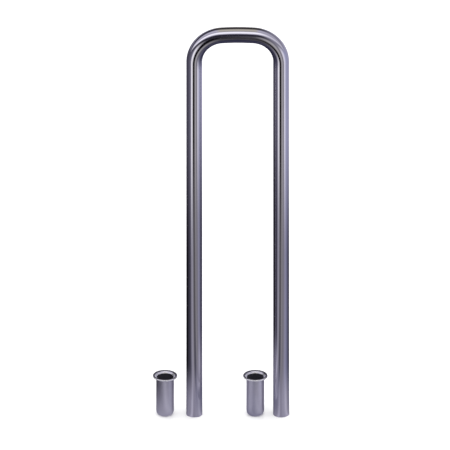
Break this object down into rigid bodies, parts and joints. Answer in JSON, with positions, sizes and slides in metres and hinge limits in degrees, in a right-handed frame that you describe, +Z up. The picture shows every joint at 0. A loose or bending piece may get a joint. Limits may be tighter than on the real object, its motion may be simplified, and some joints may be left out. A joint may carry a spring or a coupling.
{
  "type": "pool handrail",
  "caption": "Inverted-U pool handrail bent from one polished stainless tube, with loose flanged deck sockets that its legs drop into.",
  "frame": {"origin": "on the floor, under the middle of the whole group's bounding box", "axes": "+Z up along the legs, +X along the spread of the legs towards the leg with no socket outside it, +Y away from the front"},
  "size_m": [0.3644, 0.0656, 1.148],
  "materials": {
    "polished_steel": "polished",
    "satin_steel": "satin, brushed round",
    "black_nylon": "matt moulded",
    "black_rubber": "matt"
  },
  "bodies": {
    "rail": {"rail_tube": "polished_steel", "left_leg_plug": "black_nylon", "right_leg_plug": "black_nylon"},
    "left_socket": {"left_socket_shell": "satin_steel", "left_socket_base_cap": "satin_steel", "left_socket_collar": "satin_steel", "left_socket_liner": "black_nylon", "left_socket_base_pad": "black_rubber"},
    "right_socket": {"right_socket_shell": "satin_steel", "right_socket_base_cap": "satin_steel", "right_socket_collar": "satin_steel", "right_socket_liner": "black_nylon", "right_socket_base_pad": "black_rubber"}
  },
  "joints": [
    {"name": "left_socket_slide", "type": "slide", "parent": "rail", "child": "left_socket", "axis": [0, 0, 1], "range_m": [0, 0.094]},
    {"name": "right_socket_slide", "type": "slide", "parent": "rail", "child": "right_socket", "axis": [0, 0, 1], "range_m": [0, 0.094]}
  ]
}
